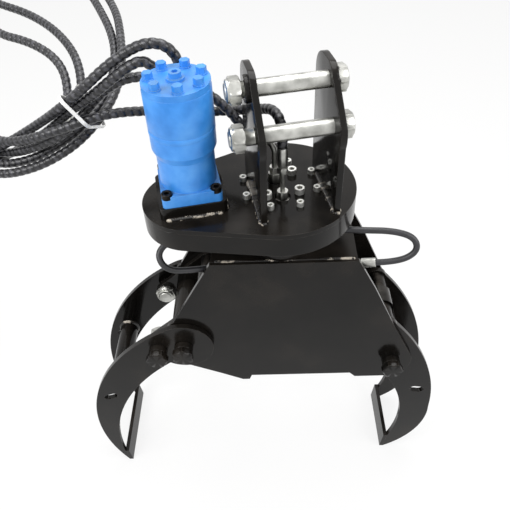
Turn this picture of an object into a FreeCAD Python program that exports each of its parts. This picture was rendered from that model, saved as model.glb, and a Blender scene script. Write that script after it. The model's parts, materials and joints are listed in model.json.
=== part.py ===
import FreeCAD, Part
import math
import os
from types import SimpleNamespace
from FreeCAD import Placement, Rotation, Vector

# Rotating hydraulic log grapple, millimetres, +Z up.
# It is drawn from the slew axis at the level of the resting tine tips, then moved along X
# until the origin lies under the middle of its length.
# +X points to the inner jaw, -Y is the front.

SIZES = {
    # levels of the stack, from the ground up
    "frame_top": 617, "frame_bottom": 307, "frame_foot": 295, "head_rise": 101,
    "cover_plate_thick": 8, "skirt_height": 34, "skirt_wall": 8,
    # slewing head seen from above
    "motor_end_radius": 79, "head_rest_turn": 10.9,
    "drum_radius": 74, "drum_wall": 14, "drum_flange_thick": 8, "drum_flange_inset": 4,
    "race_bore": 52, "race_radius": 78, "race_height": 22, "race_play": 0.4,
    "slew_screw_circle": 61.5, "slew_screw_count": 8, "slew_screw_head": 6,
    "union_screw_circle": 37.6, "union_screw_count": 4, "union_screw_head": 8,
    "union_flange_radius": 47, "union_spindle_radius": 30, "union_play": 0.4,
    # gear pair
    "gear_module": 4, "ring_teeth": 54, "pinion_teeth": 18, "gear_width": 20, "gear_backlash": 0.9,
    "gear_clearance": 4,
    "motor_shaft_radius": 12.5,
    # hydraulic motor
    "motor_screw_pitch": 75.2, "motor_screw_edge": 8.4, "motor_flange_thick": 20.5,
    "motor_neck_radius": 43.5, "motor_body_radius": 48.5, "motor_block_height": 21.5,
    "motor_bolt_circle": 38, "motor_bolt_count": 7, "motor_port_pitch": 32,
    "motor_block_wide": 105, "motor_block_deep": 96,
    # hanger ears and pins
    "ear_gap": 103.6, "ear_shift": 12.8, "ear_thick": 10, "ear_front": 91, "ear_rear": 38,
    "hanger_pin_radius": 12.5, "lower_pin_back": -58, "lower_pin_rise": 135,
    "upper_pin_back": -24, "upper_pin_rise": 190, "nut_flats": 36, "nut_thick": 15,
    # frame
    "plate_gap": 142, "plate_thick": 8, "top_plate_thick": 12,
    "left_pivot_across": -184, "left_pivot_rise": 417,
    "right_pivot_across": 211, "right_pivot_rise": 344,
    "pivot_pin_radius": 15, "collar_radius": 17.5, "collar_thick": 12, "pin_play": 0.05,
    # jaws
    "tine_thick": 10, "tine_gap": 1.5, "hub_radius": 27, "cylinder_arm": 90, "arm_lean": 22,
    "blade_thick": 8, "blade_height": 38, "crank_bolt_across": -49, "crank_bolt_rise": -8,
    "crank_bolt_radius": 12, "crank_spacer_radius": 15, "cylinder_pin_radius": 12.5,
    # jaw cylinder
    "barrel_radius": 30, "barrel_wall": 5, "barrel_length": 262, "rod_radius": 15, "eye_radius": 22,
    "eye_width": 40, "piston_width": 30, "piston_low": 76, "gland_length": 27, "open_pivot_play": 2.2,
    # hoses
    "long_hose_radius": 8, "side_hose_radius": 5.4, "ferrule_radius": 12, "ferrule_length": 40,
    "tie_thick": 1.6, "tie_width": 6, "tie_reach": 12.8,
}

doc = FreeCAD.newDocument("log_grapple")
sheet = doc.addObject("Spreadsheet::Sheet", "Sizes")
for row, (name, value) in enumerate(SIZES.items(), 1):
    sheet.set("A%d" % row, name)
    sheet.set("B%d" % row, str(value))
    sheet.setAlias("B%d" % row, name)
doc.recompute()
d = SimpleNamespace(**{name: float(sheet.get(name)) for name in SIZES})

# The head stands on the frame, and its housing clears the ring gear inside it.
housing_top = d.frame_top + d.head_rise
gear_outer = d.gear_module * (d.ring_teeth + 2) / 2
slew_end_radius = gear_outer + d.gear_clearance + d.skirt_wall
drum_flange_radius = gear_outer - d.drum_flange_inset

pieces = []
HEAD = Placement(Vector(0, 0, housing_top), Rotation(Vector(0, 0, 1), d.head_rest_turn))
GROUND = Placement()
ALONG_X = Rotation(Vector(0, 1, 0), 90)
ALONG_Y = Rotation(Vector(1, 0, 0), -90)
TOWARD_FRONT = Rotation(Vector(1, 0, 0), 90)
left_pivot = (d.left_pivot_across, d.left_pivot_rise)
right_pivot = (d.right_pivot_across, d.right_pivot_rise)
plate_inside = d.plate_gap / 2
plate_outside = plate_inside + d.plate_thick


# ---------- outlines and building helpers ----------

class Via(tuple):
    """A point that the arc to the next corner passes through."""


def around(centre, radius, degrees):
    angle = math.radians(degrees)
    return (centre[0] + radius * math.cos(angle), centre[1] + radius * math.sin(angle))


def outline(corners):
    """Closed chain of lines and three-point arcs."""
    start = Vector(*corners[0], 0)
    here, through, edges = start, None, []
    for corner in list(corners[1:]) + [corners[0]]:
        point = Vector(*corner, 0)
        if isinstance(corner, Via):
            through = point
            continue
        if through:
            edges.append(Part.Arc(here, through, point))
        else:
            edges.append(Part.LineSegment(here, point))
        here, through = point, None
    return edges


def belt(circles):
    """Closed chain of tangent lines round circles given as (x, y, radius), counter-clockwise."""
    ends = []
    for one, two in zip(circles, circles[1:] + circles[:1]):
        along = Vector(two[0] - one[0], two[1] - one[1], 0)
        side = Vector(along.y, -along.x, 0).normalize()
        lean = (one[2] - two[2]) / along.Length
        out = side * math.sqrt(1 - lean * lean) + Vector(along).normalize() * lean
        ends.append([Vector(c[0], c[1], 0) + out * c[2] for c in (one, two)])
    edges = []
    for index, (leave, arrive) in enumerate(ends):
        edges.append(Part.LineSegment(leave, arrive))
        circle = circles[(index + 1) % len(circles)]
        if circle[2] > 0:
            onward = ends[(index + 1) % len(ends)][0]
            centre = Vector(circle[0], circle[1], 0)
            from_angle = math.atan2(*(arrive - centre)[1::-1])
            to_angle = math.atan2(*(onward - centre)[1::-1])
            middle = from_angle + ((to_angle - from_angle) % math.tau) / 2
            through = centre + Vector(math.cos(middle), math.sin(middle), 0) * circle[2]
            edges.append(Part.Arc(arrive, through, onward))
    return edges


def circle(centre, radius):
    return [Part.Circle(Vector(*centre, 0), Vector(0, 0, 1), radius)]


def oblong(centre, half_length, radius, degrees):
    one = around(centre, half_length - radius, degrees)
    two = around(centre, half_length - radius, degrees + 180)
    return belt([(*one, radius), (*two, radius)])


def new_body(label, place=GROUND):
    body = doc.addObject("PartDesign::Body", label)
    body.Label = label
    body.Placement = place
    pieces.append(body)
    return body


def sketch(body, role, edges, lift=0):
    drawing = body.newObject("Sketcher::SketchObject", body.Label + "_outline")
    plane = next(item for item in body.Origin.OriginFeatures if item.Role == role)
    drawing.AttachmentSupport = [(plane, "")]
    drawing.MapMode = "FlatFace"
    drawing.AttachmentOffset = Placement(Vector(0, 0, lift), Rotation())
    for edge in edges:
        drawing.addGeometry(edge, False)
    return drawing


def pad(body, role, edges, length, lift=0):
    """Pad an outline; length is a size's name or a formula of such names."""
    feature = body.newObject("PartDesign::Pad", body.Label + "_pad")
    feature.Profile = sketch(body, role, edges, lift)
    feature.setExpression("Length", length)
    return feature


def cut_through(body, role, edges):
    """Cut an outline right through the body, both ways."""
    feature = body.newObject("PartDesign::Pocket", body.Label + "_hole")
    feature.Profile = sketch(body, role, edges)
    feature.Type = "ThroughAll"
    feature.Midplane = True
    return feature


def plate(label, edges, rear_face, thickness, holes=()):
    """Plate that stands in the XZ plane and reaches forward from rear_face."""
    body = new_body(label, Placement(Vector(0, rear_face, 0), Rotation()))
    pad(body, "XZ_Plane", edges, "Sizes." + thickness)
    for hole in holes:
        cut_through(body, "XZ_Plane", hole)
    return body


def turned(label, profile, place=GROUND):
    """Ring or shaft turned round its own Z axis; profile is (radius, height) corners."""
    body = new_body(label, place)
    feature = body.newObject("PartDesign::Revolution", label + "_turn")
    feature.Profile = sketch(body, "XZ_Plane", outline(profile))
    feature.ReferenceAxis = (feature.Profile[0], ["V_Axis"])
    feature.Angle = 360
    return body


def tube(label, outer, inner, start, end, place=GROUND):
    return turned(label, [(inner, start), (outer, start), (outer, end), (inner, end)], place)


def at(x, y, z, turn=None, base=GROUND):
    return base.multiply(Placement(Vector(x, y, z), turn or Rotation()))


def cylinder(name, radius, height, place):
    solid = doc.addObject("Part::Cylinder", name)
    for prop, value in (("Radius", radius), ("Height", height)):
        if isinstance(value, str):
            solid.setExpression(prop, value)
        else:
            setattr(solid, prop, value)
    solid.Placement = place
    return solid


def hexagon(name, height, place, flats="Sizes.nut_flats"):
    solid = doc.addObject("Part::Prism", name)
    solid.Polygon = 6
    solid.setExpression("Circumradius", flats + " / sqrt(3)")
    solid.setExpression("Height", height)
    solid.Placement = place
    return solid


def fuse(label, solids):
    whole = doc.addObject("Part::MultiFuse", label)
    whole.Label = label
    whole.Shapes = solids
    pieces.append(whole)
    return whole


def cut(label, base, tool):
    whole = doc.addObject("Part::Cut", label)
    whole.Label = label
    whole.Base = base
    whole.Tool = tool
    pieces.append(whole)
    return whole


def shaped(label, shape, place=GROUND):
    """Sub-part made by Part's own functions."""
    item = doc.addObject("Part::Feature", label)
    item.Label = label
    item.Shape = shape
    item.Placement = place
    pieces.append(item)
    return item


def solid_ring(outer, inner, bottom, top):
    ring = Part.makeCylinder(outer, top - bottom, Vector(0, 0, bottom))
    if inner:
        ring = ring.cut(Part.makeCylinder(inner, top - bottom, Vector(0, 0, bottom)))
    return ring


def socket_screw(radius, head_height, shank_radius, depth):
    """Socket head screw with its head seat at z = 0."""
    head = Part.makeCylinder(radius, head_height)
    key = Part.makePolygon([Vector(*around((0, 0), radius * 0.55, a), 0) for a in range(0, 361, 60)])
    socket = Part.Face(key).extrude(Vector(0, 0, head_height))
    socket.translate(Vector(0, 0, head_height * 0.4))
    return head.cut(socket).fuse(Part.makeCylinder(shank_radius, depth, Vector(0, 0, -depth)))


def gear_outline(teeth, phase):
    """Involute spur gear, thinned for backlash."""
    pitch = teeth * d.gear_module / 2
    base, tip, root = pitch * math.cos(math.radians(20)), pitch + 0.9 * d.gear_module, pitch - 1.2 * d.gear_module

    def involute(radius):
        roll = math.sqrt(max(radius * radius / base / base - 1, 0))
        return roll - math.atan(roll)

    def half_angle(radius):
        thick = math.pi / 2 / teeth - d.gear_backlash / 4 / pitch
        return thick + involute(pitch) - involute(max(radius, base))

    low = max(base, root)
    flank = [low, (low + tip) / 2, tip]
    corners = []
    for tooth in range(teeth):
        middle = phase + tooth * math.tau / teeth

        def point(radius, side):
            angle = middle + side * half_angle(radius)
            return (radius * math.cos(angle), radius * math.sin(angle))

        if root < low:
            corners.append(point(root, -1))
        corners += [point(flank[0], -1), Via(point(flank[1], -1)), point(flank[2], -1)]
        corners += [point(flank[2], 1), Via(point(flank[1], 1)), point(flank[0], 1)]
        if root < low:
            corners.append(point(root, 1))
    return outline(corners)


# ---------- slewing head ----------

def teardrop(slew_radius, motor_radius):
    reach = d.gear_module * (d.ring_teeth + d.pinion_teeth) / 2
    return belt([(0, 0, slew_radius), (-reach, 0, motor_radius)])


gear_distance = d.gear_module * (d.ring_teeth + d.pinion_teeth) / 2
cover_low = -d.cover_plate_thick
skirt_low = cover_low - d.skirt_height
front_port = (-2, -30)
rear_port = (-5, 15)
rear_way = Vector(math.cos(math.radians(130)), math.sin(math.radians(130)), 0)
rear_crimp = 12


def housing():
    top = new_body("housing_top_plate", at(0, 0, cover_low, base=HEAD))
    pad(top, "XY_Plane", teardrop(slew_end_radius, d.motor_end_radius), "Sizes.cover_plate_thick")
    for place, radius in ((front_port, 13), (rear_port, 12)):
        cut_through(top, "XY_Plane", circle(place, radius))
    cut_through(top, "XY_Plane", circle((-gear_distance, 0), 22))
    for count, ring, radius, first in (
            (d.slew_screw_count, d.slew_screw_circle, 4.2, -26.2),
            (d.union_screw_count, d.union_screw_circle, 5.2, 45)):
        for index in range(int(count)):
            spot = around((0, 0), ring, first + index * 360 / count)
            cut_through(top, "XY_Plane", circle(spot, radius))

    skirt = new_body("housing_skirt", at(0, 0, skirt_low, base=HEAD))
    wall = d.skirt_wall
    inside = teardrop(slew_end_radius - wall, d.motor_end_radius - wall)
    pad(skirt, "XY_Plane", teardrop(slew_end_radius, d.motor_end_radius) + inside, "Sizes.skirt_height")

    cover = new_body("gearbox_bottom_cover", at(0, 0, skirt_low, base=HEAD))
    pad(cover, "XY_Plane", teardrop(slew_end_radius - wall, d.motor_end_radius - wall), "4 mm")
    cut_through(cover, "XY_Plane", circle((0, 0), slew_end_radius - wall + 1))


def screwed_ring(label, ring, count, circle_radius, first, screw):
    """Ring under the top plate fused with the screws that hold it there."""
    whole = ring
    for index in range(int(count)):
        one = screw.copy()
        one.translate(Vector(*around((0, 0), circle_radius, first + index * 360 / count), 0))
        whole = whole.fuse(one)
    shaped(label, whole.removeSplitter(), HEAD)


def slewing():
    race = solid_ring(d.race_radius, d.race_bore, cover_low - d.race_height, cover_low)
    screw = socket_screw(d.slew_screw_head, 8, 4, 20)
    screwed_ring("slew_inner_race", race, d.slew_screw_count, d.slew_screw_circle, -26.2, screw)
    stator = solid_ring(d.union_flange_radius, 0, cover_low - 22, cover_low)
    spindle = solid_ring(d.union_spindle_radius, 0, cover_low - 80, cover_low - 22)
    screw = socket_screw(d.union_screw_head, 10, 5, 24)
    screwed_ring("rotary_union_stator", stator.fuse(spindle), d.union_screw_count, d.union_screw_circle, 45, screw)

    outer = d.race_radius + d.race_play
    gear_low = housing_top + cover_low - d.gear_width - 4
    flange_low = gear_low - d.drum_flange_thick
    ring = new_body("slew_ring_gear", at(0, 0, gear_low, Rotation(Vector(0, 0, 1), d.head_rest_turn)))
    pad(ring, "XY_Plane", gear_outline(int(d.ring_teeth), 0) + circle((0, 0), outer), "Sizes.gear_width")
    drum = d.drum_radius
    bore = drum - d.drum_wall
    turned("turntable_drum", [
        (bore, d.frame_top), (drum, d.frame_top), (drum, flange_low), (drum_flange_radius, flange_low),
        (drum_flange_radius, gear_low), (drum, gear_low), (bore, gear_low)])
    spindle_low = housing_top + cover_low - 80
    sleeve = d.union_spindle_radius + d.union_play
    turned("rotary_union_rotor", [
        (0, d.frame_top), (bore, d.frame_top), (bore, flange_low), (sleeve, flange_low),
        (sleeve, spindle_low - 1), (0, spindle_low - 1)])

    pinion = new_body("drive_pinion", at(-gear_distance, 0, gear_low - housing_top, base=HEAD))
    half_tooth = math.pi / d.pinion_teeth
    pad(pinion, "XY_Plane", gear_outline(int(d.pinion_teeth), half_tooth), "Sizes.gear_width")
    shaft = pinion.newObject("PartDesign::Pad", "drive_shaft")
    shaft.Profile = sketch(pinion, "XY_Plane", circle((0, 0), d.motor_shaft_radius))
    shaft.Length = d.gear_width + 4 - cover_low + d.motor_block_height + 30


# ---------- hydraulic motor ----------

def motor():
    axis = (-gear_distance, 0)
    half = d.motor_screw_pitch / 2
    corners = [(axis[0] + a * half, b * half) for a in (-1, 1) for b in (-1, 1)]
    wide, deep = d.motor_block_wide, d.motor_block_deep
    block = Part.makeBox(wide, deep, d.motor_block_height, Vector(axis[0] - wide / 2, -deep / 2, 0))
    bore = Part.makeCylinder(22, 60, Vector(*axis, -10))
    block = block.makeFillet(10, [e for e in block.Edges if abs(e.tangentAt(0).z) > 0.9]).cut(bore)
    flange_top = d.motor_block_height + d.motor_flange_thick
    for x, y in corners:
        screw = socket_screw(8, 9, 5, d.motor_flange_thick)
        screw.translate(Vector(x, y, flange_top - 6))
        block = block.fuse(screw)
    shaped("motor_mount_block", block.removeSplitter(), HEAD)

    neck, body = d.motor_neck_radius, d.motor_body_radius
    side = d.motor_screw_pitch + 2 * d.motor_screw_edge
    place = at(*axis, 0, base=HEAD)
    lower = Part.makeBox(side, side, d.motor_flange_thick, Vector(-side / 2, -side / 2, d.motor_block_height))
    lower = lower.makeFillet(6, [e for e in lower.Edges if abs(e.tangentAt(0).z) > 0.9])
    profile = Part.Wire([e.toShape() for e in outline(
        [(0, flange_top), (neck, flange_top), (neck, 92), (body, 104), (body, 150), (0, 150)])])
    profile.rotate(Vector(), Vector(1, 0, 0), 90)
    lower = lower.fuse(Part.Face(profile).revolve(Vector(), Vector(0, 0, 1), 360))
    ports = Part.makeBox(96, 40, 40, Vector(-46, 16, 96))
    ports = ports.makeFillet(6, [e for e in ports.Edges if abs(e.tangentAt(0).z) > 0.9])
    lower = lower.fuse(ports)
    lower = lower.cut(Part.makeCylinder(d.motor_shaft_radius + d.pin_play, 42, Vector(0, 0, 21)))
    for x, y in corners:
        hole = Part.makeCylinder(5.2, 40, Vector(x - axis[0], y, 10))
        seat = Part.makeCylinder(9.5, 10, Vector(x - axis[0], y, flange_top - 6))
        lower = lower.cut(hole).cut(seat)
    shaped("motor_flange_housing", lower.removeSplitter(), place)

    tube("motor_spacer_plate", body, 30, 150, 158, place)
    tube("motor_gerotor_ring", body + 0.5, 32, 158, 184, place)
    cover = solid_ring(body, 0, 184, 205)
    for index in range(int(d.motor_bolt_count)):
        spot = around((0, 0), d.motor_bolt_circle, 12 + index * 360 / d.motor_bolt_count)
        head = Part.Face(Part.makePolygon(
            [Vector(*around(spot, 7.5, a), 207) for a in range(0, 361, 60)])).extrude(Vector(0, 0, 9))
        cover = cover.fuse(Part.makeCylinder(8.5, 2, Vector(*spot, 205))).fuse(head)
    cover = cover.fuse(Part.makeCylinder(13, 4, Vector(0, 0, 205)))
    cover = cover.fuse(socket_screw(9, 8, 8, 5).translated(Vector(0, 0, 209)))
    shaped("motor_end_cover", cover.removeSplitter(), place)


def elbow(label, start, rise, radius, bend, place):
    """Bent hydraulic fitting: out along +Y from start, then up."""
    begin = Vector(*start)
    path = Part.Wire([
        Part.LineSegment(begin, begin + Vector(0, 4, 0)).toShape(),
        Part.Arc(begin + Vector(0, 4, 0),
                 begin + Vector(0, 4 + bend * math.sin(math.radians(45)), bend * (1 - math.cos(math.radians(45)))),
                 begin + Vector(0, 4 + bend, bend)).toShape(),
        Part.LineSegment(begin + Vector(0, 4 + bend, bend), begin + Vector(0, 4 + bend, rise)).toShape()])
    section = Part.Wire(Part.Circle(begin, Vector(0, 1, 0), radius).toShape())
    body = path.makePipeShell([section], True, False)
    crimp = Part.makeCylinder(d.ferrule_radius, rise - bend - 4, begin + Vector(0, 4 + bend, bend + 4))
    return shaped(label, body.fuse(crimp).removeSplitter(), place)


def fittings():
    half = d.motor_port_pitch / 2
    for side, x in (("left", -half), ("right", half)):
        elbow("motor_port_elbow_" + side, (x - gear_distance, 56, 116), 28, 8, 13.5, HEAD)

    stem = solid_ring(9, 0, 12, 47).fuse(solid_ring(d.ferrule_radius, 0, 47, 92))
    nut = Part.Face(Part.makePolygon(
        [Vector(*around((0, 0), 13, a), -2) for a in range(0, 361, 60)])).extrude(Vector(0, 0, 14))
    shaped("front_port_fitting", nut.fuse(stem).removeSplitter(), at(*front_port, 0, base=HEAD))

    block = Part.makeBox(28, 26, 22, Vector(rear_port[0] - 14, rear_port[1] - 13, 5))
    foot = Part.makeCylinder(9, 10, Vector(*rear_port, -3))
    rise = Vector(*rear_port, 27)
    bend, up = 15, Vector(0, 0, 28)
    corner = math.sin(math.radians(45))
    path = Part.Wire([
        Part.LineSegment(rise, rise + up).toShape(),
        Part.Arc(rise + up, rise + up + rear_way * (bend * (1 - corner)) + Vector(0, 0, bend * corner),
                 rise + up + rear_way * bend + Vector(0, 0, bend)).toShape()])
    section = Part.Wire(Part.Circle(rise, Vector(0, 0, 1), 8).toShape())
    pipe = path.makePipeShell([section], True, False)
    crimp = Part.makeCylinder(d.ferrule_radius, rear_crimp, rise + up + rear_way * bend + Vector(0, 0, bend), rear_way)
    shaped("rear_port_fitting", block.fuse(foot).fuse(pipe).fuse(crimp).removeSplitter(), HEAD)


# ---------- hanger ----------

lower_pin = (d.lower_pin_back, d.lower_pin_rise)
upper_pin = (d.upper_pin_back, d.upper_pin_rise)


def hanger():
    profile = outline([
        (-d.ear_front, 0), (d.ear_rear, 0), (d.ear_rear, 188), (25, 212),
        around(upper_pin, 30, 80), Via(around(upper_pin, 30, 125)), around(upper_pin, 30, 165),
        around(lower_pin, 40, 120), Via(around(lower_pin, 40, 162)), around(lower_pin, 40, 205)])
    half = d.ear_gap / 2
    for side, x in (("left", d.ear_shift - half - d.ear_thick), ("right", d.ear_shift + half)):
        ear = new_body("hanger_ear_" + side, at(x, 0, 0, base=HEAD))
        pad(ear, "YZ_Plane", profile, "Sizes.ear_thick")
        if side == "left":
            boss = pad(ear, "YZ_Plane", circle(upper_pin, 20), "6 mm")
            boss.Reversed = True
        for pin in (lower_pin, upper_pin):
            cut_through(ear, "YZ_Plane", circle(pin, d.hanger_pin_radius))

    outside = half + d.ear_thick
    for level, pin, head_gap, nut_gap in (("lower", lower_pin, 3, 14), ("upper", upper_pin, 1, 11)):
        end = d.ear_shift - outside - nut_gap - 22
        start = d.ear_shift + outside + head_gap
        place = at(end, *pin, ALONG_X, HEAD)
        shank = cylinder("shank_" + level, "Sizes.hanger_pin_radius", start - end, place)
        head = hexagon("head_" + level, "Sizes.nut_thick", at(start, *pin, ALONG_X, HEAD))
        fuse("hanger_pin_" + level, [shank, head])
        nut = hexagon("nut_" + level, "20 mm", at(end + 2, *pin, ALONG_X, HEAD))
        bore = cylinder("nut_bore_" + level, "Sizes.hanger_pin_radius", 30, at(end, *pin, ALONG_X, HEAD))
        cut("hanger_nut_" + level, nut, bore)


# ---------- frame ----------

slope = math.degrees(math.atan2(right_pivot[1] - left_pivot[1], right_pivot[0] - left_pivot[0]))
pivot_distance = math.dist(left_pivot, right_pivot)
tine_outside = plate_outside + d.tine_gap + d.tine_thick
tine_inside = plate_inside - d.tine_gap
crank_inside = tine_inside - d.tine_thick


def frame():
    top, low, foot = d.frame_top, d.frame_bottom, d.frame_foot
    left, right = left_pivot, right_pivot
    keep_clear = 32
    profile = outline([
        (-120, top), around(left, 58, 104), Via(around(left, 45, 133)), around(left, keep_clear, 158),
        Via(around(left, keep_clear, 205)), around(left, keep_clear, 252), around(left, 62.2, 252),
        (-122, 317), (-79, foot - 1), (-66, foot - 1), (-61, low), (134, low), (145, foot), (202, foot),
        around(right, 40, -60), Via(around(right, 40, -15)), around(right, 40, 25),
        (217, 425), (206, 447), (162, 548), (128, top)])
    holes = [circle(left, d.pivot_pin_radius), circle(right, d.pivot_pin_radius)]
    plate("frame_plate_front", profile, -plate_inside, "plate_thick", holes)
    plate("frame_plate_rear", profile, plate_outside, "plate_thick", holes)

    deck = doc.addObject("Part::Box", "frame_top_plate")
    deck.Label = "frame_top_plate"
    deck.setExpression("Width", "Sizes.plate_gap")
    deck.setExpression("Height", "Sizes.top_plate_thick")
    deck.Length = 244
    deck.Placement = at(-118, -plate_inside, top - d.top_plate_thick)
    pieces.append(deck)

    for side, pivot, outside, turn in (
            ("left", left, tine_outside + 0.5, 30), ("right", right, plate_outside, 0)):
        level = outside + d.collar_thick
        shank = cylinder("pivot_shank_" + side, "Sizes.pivot_pin_radius", 2 * outside,
                         at(pivot[0], -outside, pivot[1], ALONG_Y))
        for end, sign, way in (("front", -1, TOWARD_FRONT), ("rear", 1, ALONG_Y)):
            collar = cylinder("pivot_collar_%s_%s" % (side, end), "Sizes.collar_radius", "Sizes.collar_thick",
                              at(pivot[0], sign * outside, pivot[1], way))
            head = hexagon("pivot_head_%s_%s" % (side, end), "Sizes.nut_thick",
                           at(pivot[0], sign * level, pivot[1], way.multiply(Rotation(Vector(0, 0, 1), turn))))
            if end == "front":
                fuse("pivot_bolt_" + side, [shank, collar, head])
            else:
                fuse("pivot_nut_" + side, [collar, head])


# ---------- jaws ----------

def crank_pin(pivot, sign):
    """Cylinder pin on its arm, which leans from the square to the line between the pivots."""
    lean = math.radians(slope + 90 - sign * d.arm_lean)
    return (pivot[0] + d.cylinder_arm * math.cos(lean), pivot[1] + d.cylinder_arm * math.sin(lean))


left_crank_pin = crank_pin(left_pivot, 1)
right_crank_pin = crank_pin(right_pivot, -1)
crank_bolt = (left_pivot[0] + d.crank_bolt_across, left_pivot[1] + d.crank_bolt_rise)


def bar_between(label, corners, half_width):
    body = new_body(label, Placement(Vector(0, half_width, 0), Rotation()))
    feature = body.newObject("PartDesign::Pad", label + "_pad")
    feature.Profile = sketch(body, "XZ_Plane", outline(corners))
    feature.Length = 2 * half_width
    return body


def hub(label, pivot):
    bore = d.pivot_pin_radius + d.pin_play
    place = at(pivot[0], -crank_inside, pivot[1], ALONG_Y)
    return tube(label, d.hub_radius, bore, 0, 2 * crank_inside, place)


def cylinder_pin(label, pin):
    """Pin between two plates with a sleeve on each side of the cylinder's eye."""
    place = at(pin[0], 0, pin[1], ALONG_Y)
    radius, edge = d.cylinder_pin_radius, d.eye_width / 2 + 0.5
    return turned(label, [
        (0, -tine_inside), (radius, -tine_inside), (radius, -crank_inside), (radius + 5, -crank_inside),
        (radius + 5, -edge), (radius, -edge), (radius, edge), (radius + 5, edge),
        (radius + 5, crank_inside), (radius, crank_inside), (radius, tine_inside), (0, tine_inside)], place)


def left_jaw():
    pivot, lobe = left_pivot, 55.6
    centre = (pivot[0] + 136, pivot[1] - 260)
    reach = math.dist(centre, pivot) + lobe
    back = math.degrees(math.atan2(pivot[1] - centre[1], pivot[0] - centre[0]))
    tip_angle = 180 + math.degrees(math.asin(centre[1] / reach))
    tip = around(centre, reach, tip_angle)
    throat = (15, 68)
    edge = (throat[0] - math.sqrt(380 ** 2 - (d.blade_height - throat[1]) ** 2), d.blade_height)
    profile = outline([
        around(pivot, lobe, back), Via(around(centre, reach, (back + tip_angle) / 2)), tip,
        edge, Via(around(throat, 380, 158)), around(pivot, lobe, 236.4), Via(around(pivot, lobe, -4))])
    holes = [circle(pivot, d.pivot_pin_radius + d.pin_play), circle(crank_bolt, d.crank_bolt_radius),
             oblong((-352, 260), 15, 7, 20)]
    plate("left_tine_front", profile, -plate_outside - d.tine_gap, "tine_thick", holes)
    plate("left_tine_rear", profile, tine_outside, "tine_thick", holes)

    arm = belt([(*crank_bolt, 20), (*pivot, 34), (*left_crank_pin, 22)])
    holes = [circle(pivot, d.pivot_pin_radius + d.pin_play), circle(crank_bolt, d.crank_bolt_radius),
             circle(left_crank_pin, d.cylinder_pin_radius)]
    plate("left_crank_front", arm, -crank_inside, "tine_thick", holes)
    plate("left_crank_rear", arm, tine_inside, "tine_thick", holes)
    hub("left_hub_tube", pivot)
    cylinder_pin("left_cylinder_pin", left_crank_pin)

    thick = d.blade_thick
    bar_between("left_tip_blade", [tip, (tip[0] + thick, tip[1]), (edge[0] + thick, edge[1]), edge], tine_outside)

    for end, sign, way, back_way in (
            ("front", -1, TOWARD_FRONT, ALONG_Y), ("rear", 1, ALONG_Y, TOWARD_FRONT)):
        def spot(level, turn):
            return at(crank_bolt[0], sign * level, crank_bolt[1], turn)
        parts = [
            cylinder("crank_shank_" + end, "Sizes.crank_bolt_radius", tine_outside - crank_inside + 16,
                     spot(crank_inside - 16, way)),
            cylinder("crank_spacer_" + end, "Sizes.crank_spacer_radius", plate_outside - plate_inside
                     + 2 * d.tine_gap, spot(tine_inside, way)),
            cylinder("crank_collar_" + end, "Sizes.collar_radius", "Sizes.collar_thick", spot(tine_outside, way)),
            hexagon("crank_head_" + end, "Sizes.nut_thick", spot(tine_outside + d.collar_thick, way)),
            hexagon("crank_nut_" + end, "Sizes.nut_thick", spot(crank_inside, back_way))]
        fuse("crank_bolt_" + end, parts)


def right_jaw():
    pivot, pin, lobe = right_pivot, right_crank_pin, 40.5
    throat, bend = (-10, 133), 265
    edge = (throat[0] + math.sqrt(bend ** 2 - (45 - throat[1]) ** 2), 45)
    tip = (235, 0)
    profile = outline([
        around(pin, 22, 190), around(pivot, lobe, 155), Via(around(pivot, lobe, 188)), around(pivot, lobe, 223.7),
        Via(around(throat, bend, 12)), edge, tip, Via((299, 72)), (315, 165), Via((290, 310)),
        around(pin, 22, 20), Via(around(pin, 22, 100))])
    holes = [circle(pivot, d.pivot_pin_radius + d.pin_play), circle(pin, d.cylinder_pin_radius),
             oblong((280, 230), 15, 9, -10)]
    plate("right_tine_front", profile, -crank_inside, "tine_thick", holes)
    plate("right_tine_rear", profile, tine_inside, "tine_thick", holes)
    hub("right_hub_tube", pivot)
    cylinder_pin("right_cylinder_pin", pin)
    thick = d.blade_thick
    bar_between("right_tip_blade", [tip, edge, (edge[0] - thick, edge[1]), (tip[0] - thick, tip[1])], tine_inside)


# ---------- jaw cylinder ----------

def jaw_cylinder():
    place = at(left_crank_pin[0], 0, left_crank_pin[1], Rotation(Vector(0, 1, 0), 90 - slope))
    reach = math.dist(left_crank_pin, right_crank_pin)
    half, radius, bore = d.eye_width / 2, d.barrel_radius, d.barrel_radius - d.barrel_wall

    def eye(height):
        return Part.makeCylinder(d.eye_radius, d.eye_width, Vector(0, -half, height), Vector(0, 1, 0))

    def eye_bore(play, height):
        return Part.makeCylinder(d.cylinder_pin_radius + play, d.eye_width, Vector(0, -half, height), Vector(0, 1, 0))

    barrel = solid_ring(radius, 0, 26, d.barrel_length).fuse(solid_ring(18, 0, 5, 26))
    for height in (52, d.barrel_length - 40):
        barrel = barrel.fuse(Part.makeCylinder(9, 12, Vector(-radius + 2, 0, height), Vector(-1, 0, 0)))
    barrel = barrel.fuse(eye(0)).cut(solid_ring(bore, 0, 40, d.barrel_length))
    shaped("cylinder_barrel", barrel.cut(eye_bore(d.pin_play, 0)).removeSplitter(), place)

    inside = d.barrel_length - d.gland_length + 5
    turned("cylinder_gland", [
        (d.rod_radius + d.pin_play, inside), (bore, inside), (bore, d.barrel_length), (radius - 1, d.barrel_length),
        (radius - 1, d.barrel_length + 6), (d.rod_radius + d.pin_play, d.barrel_length + 6)], place)

    low = d.piston_low
    rod = solid_ring(bore - d.pin_play, 0, low, low + d.piston_width)
    rod = rod.fuse(solid_ring(d.rod_radius, 0, low, reach - 14)).fuse(eye(reach))
    shaped("cylinder_rod", rod.cut(eye_bore(d.open_pivot_play, reach)).removeSplitter(), place)


# ---------- hoses ----------

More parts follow.
